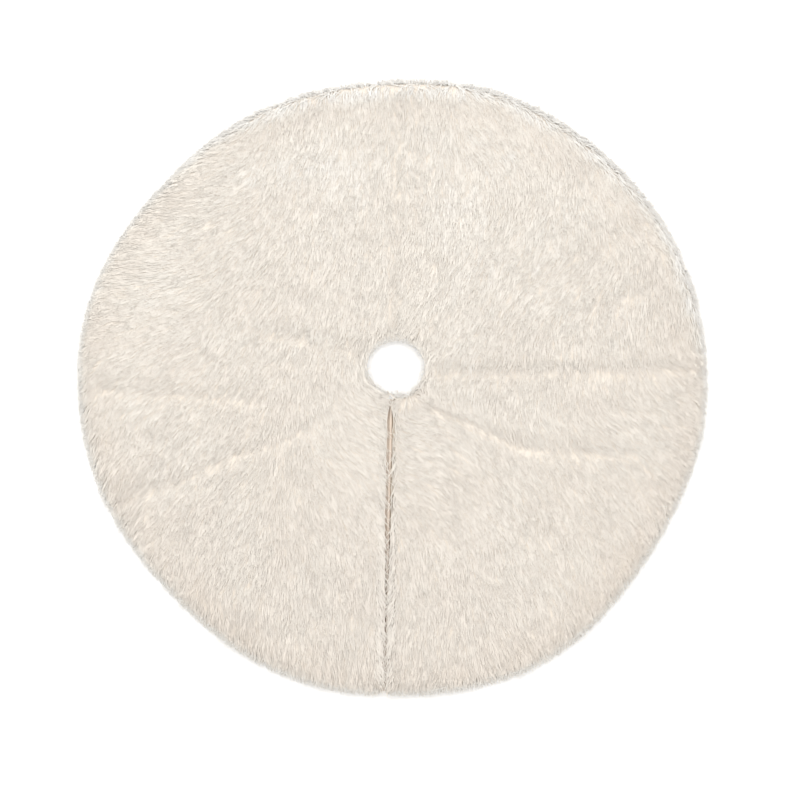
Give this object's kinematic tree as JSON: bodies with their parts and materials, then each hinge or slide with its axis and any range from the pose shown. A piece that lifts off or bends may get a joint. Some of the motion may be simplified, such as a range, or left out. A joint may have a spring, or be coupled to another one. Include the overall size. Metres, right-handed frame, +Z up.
{
  "type": "tree skirt",
  "caption": "Round faux-fur tree skirt with a central trunk hole and a straight front slit; the flap on each side of the slit folds back.",
  "frame": {"origin": "on the floor at the centre of the trunk hole", "axes": "+Z up out of the pile, +Y to the back, the slit runs towards -Y, +X to the right seen from the slit"},
  "size_m": [1.219, 1.219, 0.018],
  "materials": {
    "ivory_faux_fur": "matte long pile",
    "lining_twill": "soft satin weave",
    "cotton_tape": "matte twill tape",
    "slit_binding": "smooth satin binding",
    "hook_nylon": "nylon hook tape",
    "loop_nylon": "brushed nylon loop",
    "label_satin": "printed-satin stock, blank"
  },
  "bodies": {
    "back_half": {"fur_back": "ivory_faux_fur", "lining_back": "lining_twill", "hole_tape_back": "cotton_tape", "rim_tape_back": "cotton_tape", "care_label": "label_satin"},
    "left_flap": {"fur_front_left": "ivory_faux_fur", "lining_front_left": "lining_twill", "hole_tape_front_left": "cotton_tape", "rim_tape_front_left": "cotton_tape", "left_slit_facing": "lining_twill", "left_slit_binding": "slit_binding", "hook_tab_1": "hook_nylon", "hook_tab_2": "hook_nylon", "hook_tab_3": "hook_nylon"},
    "right_flap": {"fur_front_right": "ivory_faux_fur", "lining_front_right": "lining_twill", "hole_tape_front_right": "cotton_tape", "rim_tape_front_right": "cotton_tape", "right_slit_facing": "lining_twill", "loop_patch_1": "loop_nylon", "loop_patch_2": "loop_nylon", "loop_patch_3": "loop_nylon"}
  },
  "joints": [
    {"name": "left_flap_fold", "type": "hinge", "parent": "back_half", "child": "left_flap", "pos_m": [-0.33, 0, 0.0185], "axis": [-1, 0, 0], "range_deg": [0, 179]},
    {"name": "right_flap_fold", "type": "hinge", "parent": "back_half", "child": "right_flap", "pos_m": [0.33, 0, 0.0185], "axis": [-1, 0, 0], "range_deg": [0, 179]}
  ]
}
